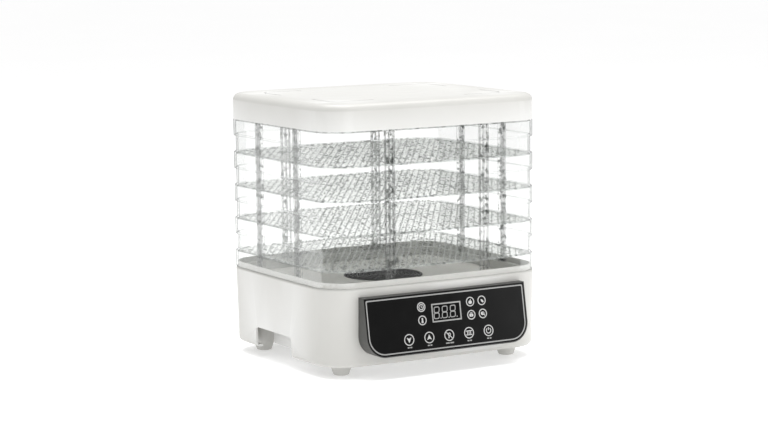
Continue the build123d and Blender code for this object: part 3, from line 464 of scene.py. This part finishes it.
def post_mesh(bottom, floor, top):
    verts, faces = [], []
    plan = comb()
    for (px, py), (ix, iy) in post_spots():

        def place(p, px=px, py=py, ix=ix, iy=iy):
            across, deep = p[0], p[1] + POST_START
            return (
                CENTRE.x + (px + ix * deep - iy * across) * MM,
                CENTRE.y + (py + iy * deep + ix * across) * MM,
            )

        prism(plan, floor + 0.05 * MM, top - 2.0 * MM, verts, faces, place)
        prism(plan, bottom + 0.05 * MM, floor - 2.05 * MM, verts, faces, place)
    return verts, faces


def clipped(origin, direction, ring):
    """The two ends of a line inside a convex ring, or None."""
    hits = []
    side = (-direction[1], direction[0])
    for k, a in enumerate(ring):
        b = ring[(k + 1) % len(ring)]
        da = (a[0] - origin[0]) * side[0] + (a[1] - origin[1]) * side[1]
        db = (b[0] - origin[0]) * side[0] + (b[1] - origin[1]) * side[1]
        if (da > 0) != (db > 0):
            t = da / (da - db)
            x, y = a[0] + (b[0] - a[0]) * t, a[1] + (b[1] - a[1]) * t
            hits.append((x - origin[0]) * direction[0] + (y - origin[1]) * direction[1])
    return (min(hits), max(hits)) if len(hits) >= 2 else None


def bar(start, end, low, high, verts, faces):
    """A straight bar with rounded long edges between two plan points."""
    along = Vector((end[0] - start[0], end[1] - start[1]))
    along.normalize()
    side = Vector((-along.y, along.x))
    half, soft = BAR_WIDE / 2 * MM, 0.35 * MM
    ring = [
        (half, low + soft), (half, high - soft), (half - soft, high), (-half + soft, high),
        (-half, high - soft), (-half, low + soft), (-half + soft, low), (half - soft, low),
    ]
    first = len(verts)
    for point in (start, end):
        verts.extend((point[0] + side.x * s, point[1] + side.y * s, z) for s, z in ring)
    count = len(ring)
    for k in range(count):
        n = (k + 1) % count
        faces.append((first + k, first + n, first + count + n, first + count + k))
    faces.append(tuple(first + k for k in reversed(range(count))))
    faces.append(tuple(first + count + k for k in range(count)))


def lattice_mesh(low, high):
    """The diamond mesh of one floor: two crossing layers of diagonal bars in a rounded border."""
    verts, faces = [], []
    edge = [(x, z * MM) for x, z in softened([
        (COLLAR_IN + 0.15, low / MM, 0.4), (COLLAR_IN + 0.15, high / MM, 0.4),
        (COLLAR_IN + 3.6, high / MM, 0.5), (COLLAR_IN + 3.6, low / MM, 0.5),
    ])]
    swept(edge, verts, faces)
    ring = outline(COLLAR_IN + 2.0)
    diagonal = math.hypot(LATTICE_ACROSS, LATTICE_DEEP)
    step = LATTICE_ACROSS * LATTICE_DEEP / diagonal * MM
    reach = int(0.30 / step)
    for layer, slope in ((0, 1), (1, -1)):
        direction = (LATTICE_ACROSS / diagonal, slope * LATTICE_DEEP / diagonal)
        across = (-direction[1], direction[0])
        bar_high = high - layer * (high - low - BAR_TALL * MM) - 0.02 * MM
        for k in range(-reach, reach + 1):
            offset = (k + 0.5) * step
            origin = (CENTRE.x + across[0] * offset, CENTRE.y + across[1] * offset)
            ends = clipped(origin, direction, ring)
            if ends is None or ends[1] - ends[0] < 4 * MM:
                continue
            points = [(origin[0] + direction[0] * t, origin[1] + direction[1] * t) for t in ends]
            bar(points[0], points[1], bar_high - (BAR_TALL - 0.04) * MM, bar_high, verts, faces)
    return verts, faces


for number in range(1, TRAYS + 1):
    low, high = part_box(f"tray_{number}_frame")
    floor_low, floor_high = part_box(f"tray_{number}_floor")
    verts, faces = [], []
    swept(frame_profile(low.z, floor_high.z, high.z), verts, faces)
    body = f"tray_{number}"
    finished(f"tray_{number}_wall", verts, faces, body, wall_clear, [f"tray_{number}_frame"])
    verts, faces = post_mesh(low.z, floor_high.z, high.z)
    finished(f"tray_{number}_posts", verts, faces, body, rib_clear, [f"tray_{number}_frame"])
    verts, faces = lattice_mesh(floor_low.z, floor_high.z)
    finished(f"tray_{number}_mesh", verts, faces, body, mesh_clear, [f"tray_{number}_floor"])

# ---- Control panel graphics -----------------------------------------------------------------------
# The panel's face leans out by LEAN for each unit down. REACH is how far it stands out at its top.
LEAN = 0.17
PANEL_HALF, PANEL_RISE, PANEL_CORNER = 111.0, 34.75, 24.0
up = Vector((0, LEAN, 1)).normalized()
out = Vector((0, -1, LEAN)).normalized()
PANEL_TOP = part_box("control_bezel")[1].z
REACH = 7.5 * MM
# printing: its height over the panel and its thickness, in millimetres
INK_LIFT, INK_THICK = 0.06, 0.12


def face_point(height):
    """The point of the panel's face on its middle line at this height."""
    depth = HALF_DEPTH * MM + REACH + LEAN * (PANEL_TOP - height)
    return Vector((CENTRE.x, CENTRE.y - depth, height))


def on_face(height_mm, proud=0.0):
    """The matrix that takes (x, up the face, out) in metres to the row frame, centred at a height."""
    origin = face_point(height_mm * MM) + out * proud * MM
    turn = Matrix((Vector((1, 0, 0)), up, out)).transposed()
    return Matrix.Translation(origin) @ turn.to_4x4()


def circle(radius, centre=(0, 0), steps=40, start=0.0, end=360.0, squash=1.0):
    span = end - start
    count = steps if abs(span) >= 360 else steps + 1
    return [
        (
            centre[0] + radius * math.cos(math.radians(start + span * k / steps)),
            centre[1] + squash * radius * math.sin(math.radians(start + span * k / steps)),
        )
        for k in range(count)
    ]


def ring(radius, wide, centre=(0, 0), steps=40):
    return [circle(radius + wide / 2, centre, steps), circle(radius - wide / 2, centre, steps)]


def line(points, wide):
    """The outline of a stroke along an open run of points."""
    left, right = [], []
    for k, point in enumerate(points):
        before = Vector(points[max(k - 1, 0)])
        after = Vector(points[min(k + 1, len(points) - 1)])
        along = (after - before).normalized()
        side = Vector((-along.y, along.x)) * wide / 2
        left.append((point[0] + side.x, point[1] + side.y))
        right.append((point[0] - side.x, point[1] - side.y))
    return [left + right[::-1]]


def box_loop(x0, y0, x1, y1, corner=0.0, steps=6):
    if corner <= 0:
        return [(x0, y0), (x1, y0), (x1, y1), (x0, y1)]
    points = []
    for cx, cy, start in (
        (x1 - corner, y0 + corner, -90), (x1 - corner, y1 - corner, 0),
        (x0 + corner, y1 - corner, 90), (x0 + corner, y0 + corner, 180),
    ):
        points += circle(corner, (cx, cy), steps, start, start + 90)
    return points


def moved(loops, dx, dy):
    return [[(x + dx, y + dy) for x, y in loop] for loop in loops]


def decal(name, loops, matrix, thick, material):
    """Flat shapes with holes where loops overlap, as a thin mesh on the panel's face."""
    curve = bpy.data.curves.new(name, "CURVE")
    curve.dimensions = "2D"
    curve.fill_mode = "BOTH"
    curve.extrude = thick / 2 * MM
    for loop in loops:
        spline = curve.splines.new("POLY")
        spline.points.add(len(loop) - 1)
        for point, (x, y) in zip(spline.points, loop):
            point.co = (x * MM, y * MM, 0, 1)
        spline.use_cyclic_u = True
    holder = bpy.data.objects.new(name + "_curve", curve)
    bpy.context.scene.collection.objects.link(holder)
    bpy.context.view_layer.update()
    depsgraph = bpy.context.evaluated_depsgraph_get()
    mesh = bpy.data.meshes.new_from_object(holder.evaluated_get(depsgraph))
    bpy.data.objects.remove(holder)
    mesh.transform(matrix)
    mesh.name = name
    return dressed(name, mesh, "base", material)


def panel_loop(inset):
    """The printed outline: square top corners and large rounded bottom corners, about mid height."""
    half = PANEL_HALF - inset
    stretch = math.sqrt(1 + LEAN**2)
    top, bottom = (PANEL_RISE - inset) * stretch, (-PANEL_RISE + inset) * stretch
    low_r, top_r = PANEL_CORNER - inset, 1.6
    points = circle(top_r, (half - top_r, top - top_r), 5, 0, 90)
    points += circle(top_r, (-half + top_r, top - top_r), 5, 90, 180)
    points += circle(low_r, (-half + low_r, bottom + low_r), 18, 180, 270)
    points += circle(low_r, (half - low_r, bottom + low_r), 18, 270, 360)
    return points


MID = 60.75
OUTLINE_OUTER, OUTLINE_INNER = 3.0, 4.4
decal(
    "panel_outline", [panel_loop(OUTLINE_OUTER), panel_loop(OUTLINE_INNER)],
    on_face(MID, INK_LIFT), INK_THICK, silver_ink,
)

# display: a grey frame round a dark window with three outlined figures and their points
DISPLAY_Z = 70.5
FIGURE_LIFT = 0.1
BORDER_THICK = 0.2
decal(
    "display_window", [box_loop(-20.2, -10.2, 18.9, 10.2)],
    on_face(DISPLAY_Z, 0.04), 0.08, window,
)
decal(
    "display_border",
    [box_loop(-20.9, -10.9, 19.4, 10.9), box_loop(-19.3, -9.3, 17.8, 9.3)],
    on_face(DISPLAY_Z, FIGURE_LIFT), BORDER_THICK, silver_ink,
)


def figure(dx):
    """An eight drawn as the two outlined loops of a seven-segment figure, leaning a little."""
    loops = []
    for low, high in ((-7.2, 0.15), (-0.15, 7.2)):
        for inset in (0.0, 1.0):
            loop = box_loop(-3.9 + inset, low + inset, 3.9 - inset, high - inset, 2.2 - inset * 0.9, 5)
            loops.append([(x + 0.08 * y, y) for x, y in loop])
    return moved(loops, dx, 0)


digits = []
for dx in (-14.3, -3.2, 7.9):
    digits.append(figure(dx))
    digits.append([circle(0.75, (dx + 5.3, -6.6), 12)])
for k, loops in enumerate(digits):
    for half_number in range(0, len(loops), 2):
        pair = loops[half_number:half_number + 2]
        name = f"display_mark_{k}_{half_number}"
        decal(name, pair, on_face(DISPLAY_Z, FIGURE_LIFT), INK_THICK, silver_ink)

# round marks: small ones beside the display, larger ones for the five touch keys
SMALL, LARGE, INK = 5.1, 6.2, 1.05
TOP_ROW, LOWER_ROW, KEY_ROW, DASH_Z = 79.0, 63.7, 43.3, 34.4


def glyph(kind):
    """The drawing inside a ring, as a list of groups of loops."""
    if kind == "clock":
        return [ring(3.1, 0.9), line([(0, 2.0), (0, 0), (1.5, -0.9)], 0.85)]
    if kind == "heat":
        stem = circle(0.95, (0, 1.9), 12, 0, 180) + circle(1.35, (0, -1.9), 16, 130, 410)
        return [[stem]]
    if kind == "leaf":
        leaf = circle(4.2, (-1.6, -2.6), 14, 5, 74) + circle(4.2, (2.9, 1.4), 14, 185, 254)
        return [[leaf]]
    if kind == "fruit":
        return [[circle(2.4, (0, -0.7), 24, squash=0.86)], line([(0, 1.2), (0.9, 2.9)], 0.8)]
    if kind == "bread":
        loaf = [box_loop(-2.6, -2.1, 2.6, 1.1, 0.8), circle(0.55, (0, -0.5), 10)]
        return [loaf, line([(-1.7, 2.1), (1.7, 2.1)], 0.9)]
    if kind == "steak":
        cut = [circle(2.5, (-0.3, 0.2), 24, squash=0.8), circle(0.8, (0.6, 0.5), 14)]
        return [cut, line([(1.4, -1.3), (2.8, -2.6)], 0.9)]
    if kind == "down":
        return [[[(-3.2, 2.7), (0, 1.3), (3.2, 2.7), (0, -3.7)]]]
    if kind == "up":
        return [[[(-3.2, -2.7), (0, -1.3), (3.2, -2.7), (0, 3.7)]]]
    if kind == "lamp":
        bulb = [circle(2.0, (0.2, 0.9), 20), circle(1.1, (0.2, 0.9), 20)]
        return [line([(-3.9, 3.6), (3.9, -3.6)], 0.95), bulb, line([(-0.9, -3.6), (-0.4, -1.1)], 1.4)]
    if kind == "menu":
        return [line([(-4.4, y), (4.4, y)], 0.9) for y in (2.3, -2.3)] + [
            line([(x, -1.7), (x, 1.7)], 0.9) for x in (-2.2, 0.0, 2.2)]
    return [[circle(3.6, steps=26, start=125, end=415) + circle(2.6, steps=26, start=415, end=125)],
            line([(0, 0.6), (0, 3.9)], 1.0)]


marks = [
    (-34.5, TOP_ROW, SMALL, "clock"), (-34.5, LOWER_ROW, SMALL, "heat"),
    (33.0, TOP_ROW, SMALL, "fruit"), (49.1, TOP_ROW, SMALL, "leaf"),
    (33.0, LOWER_ROW, SMALL, "bread"), (49.1, LOWER_ROW, SMALL, "steak"),
    (-54.8, KEY_ROW, LARGE, "down"), (-27.4, KEY_ROW, LARGE, "up"), (0.0, KEY_ROW, LARGE, "lamp"),
    (27.4, KEY_ROW, LARGE, "menu"), (54.8, KEY_ROW, LARGE, "power"),
]
for x, z, radius, kind in marks:
    matrix = on_face(z, INK_LIFT) @ Matrix.Translation((x * MM, 0, 0))
    decal(f"mark_{kind}_ring", ring(radius, INK), matrix, INK_THICK, white_ink)
    for k, loops in enumerate(glyph(kind)):
        decal(f"mark_{kind}_{k}", loops, matrix, INK_THICK, white_ink)

# short plain dashes under the keys stand for their captions
for x, _, _, kind in marks[6:]:
    wide = 5.6 if kind == "lamp" else 3.0
    matrix = on_face(DASH_Z, INK_LIFT) @ Matrix.Translation((x * MM, 0, 0))
    dashes = [box_loop(-wide, -0.75, -0.5, 0.75, 0.3, 3), box_loop(0.5, -0.75, wide, 0.75, 0.3, 3)]
    decal(f"mark_{kind}_dash", dashes, matrix, 0.1, silver_ink)

# ---- Floor, lights and camera ---------------------------------------------------------------------
floor_mesh = bpy.data.meshes.new("studio_floor")
FLOOR_HALF = 60.0
floor_mesh.from_pydata(
    [(-FLOOR_HALF, -FLOOR_HALF, 0), (FLOOR_HALF, -FLOOR_HALF, 0), (FLOOR_HALF, FLOOR_HALF, 0),
     (-FLOOR_HALF, FLOOR_HALF, 0)],
    [], [(0, 1, 2, 3)],
)
studio_floor = bpy.data.objects.new("studio_floor", floor_mesh)
studio_floor.location.z = -0.0002
bpy.context.scene.collection.objects.link(studio_floor)
floor_material, floor_tree, floor_shader = new_material("studio_floor")
cloud = spread(floor_tree, noise(floor_tree, 2.0), 0, 1)
floor_colour = blended(floor_tree, cloud, (0.93, 0.93, 0.93), (0.95, 0.95, 0.95))
floor_tree.links.new(floor_colour, floor_shader.inputs["Base Color"])
floor_shader.inputs["Roughness"].default_value = 0.8
floor_shader.inputs["Emission Color"].default_value = (1, 1, 1, 1)
floor_shader.inputs["Emission Strength"].default_value = 0.34
floor_mesh.materials.append(floor_material)

world = bpy.data.worlds.new("studio")
world.use_nodes = True
world.node_tree.nodes["Background"].inputs["Color"].default_value = (1, 1, 1, 1)
world.node_tree.nodes["Background"].inputs["Strength"].default_value = 0.68
bpy.context.scene.world = world


def area_light(name, place, target, wide, tall, watts, colour=(1, 1, 1)):
    light = bpy.data.lights.new(name, "AREA")
    light.shape = "RECTANGLE"
    light.size, light.size_y = wide, tall
    light.energy = watts
    light.color = colour
    obj = bpy.data.objects.new(name, light)
    obj.location = place
    obj.rotation_euler = (Vector(target) - Vector(place)).to_track_quat("-Z", "Y").to_euler()
    bpy.context.scene.collection.objects.link(obj)


area_light("key", (1.5, -1.8, 1.4), (0, 0, 0.15), 1.4, 1.2, 4)
area_light("top", (0.1, 0.1, 2.2), (0, 0, 0.3), 1.8, 1.8, 46)
area_light("low_fill", (-0.4, -2.5, 0.3), (0, -0.1, 0.06), 0.8, 0.4, 4)
area_light("panel_fill", (1.55, -1.75, 0.45), (0.1, -0.1, 0.06), 0.7, 0.6, 4)
area_light("corner_strip", (-2.1, -1.35, 0.6), (-0.1, -0.1, 0.2), 0.14, 1.5, 0.5)

camera_data = bpy.data.cameras.new("camera")
camera_data.lens = 109.316
camera_data.sensor_width = 36.0
camera_data.clip_start, camera_data.clip_end = 0.05, 50
camera = bpy.data.objects.new("camera", camera_data)
right = Vector((0.85992954, -0.51029622, -0.01090677))
upward = Vector((0.07563438, 0.10626504, 0.9914571))
back = Vector((-0.5047778, -0.85340817, 0.12997639))
turn = Matrix((right, upward, back)).transposed()
camera.matrix_world = Matrix.Translation((-1.43068, -2.41245, 0.53634)) @ turn.to_4x4()
bpy.context.scene.collection.objects.link(camera)
bpy.context.scene.camera = camera

scene = bpy.context.scene
scene.view_settings.view_transform = "Standard"
scene.cycles.max_bounces = 24
scene.cycles.transparent_max_bounces = 96
scene.cycles.transmission_bounces = 16
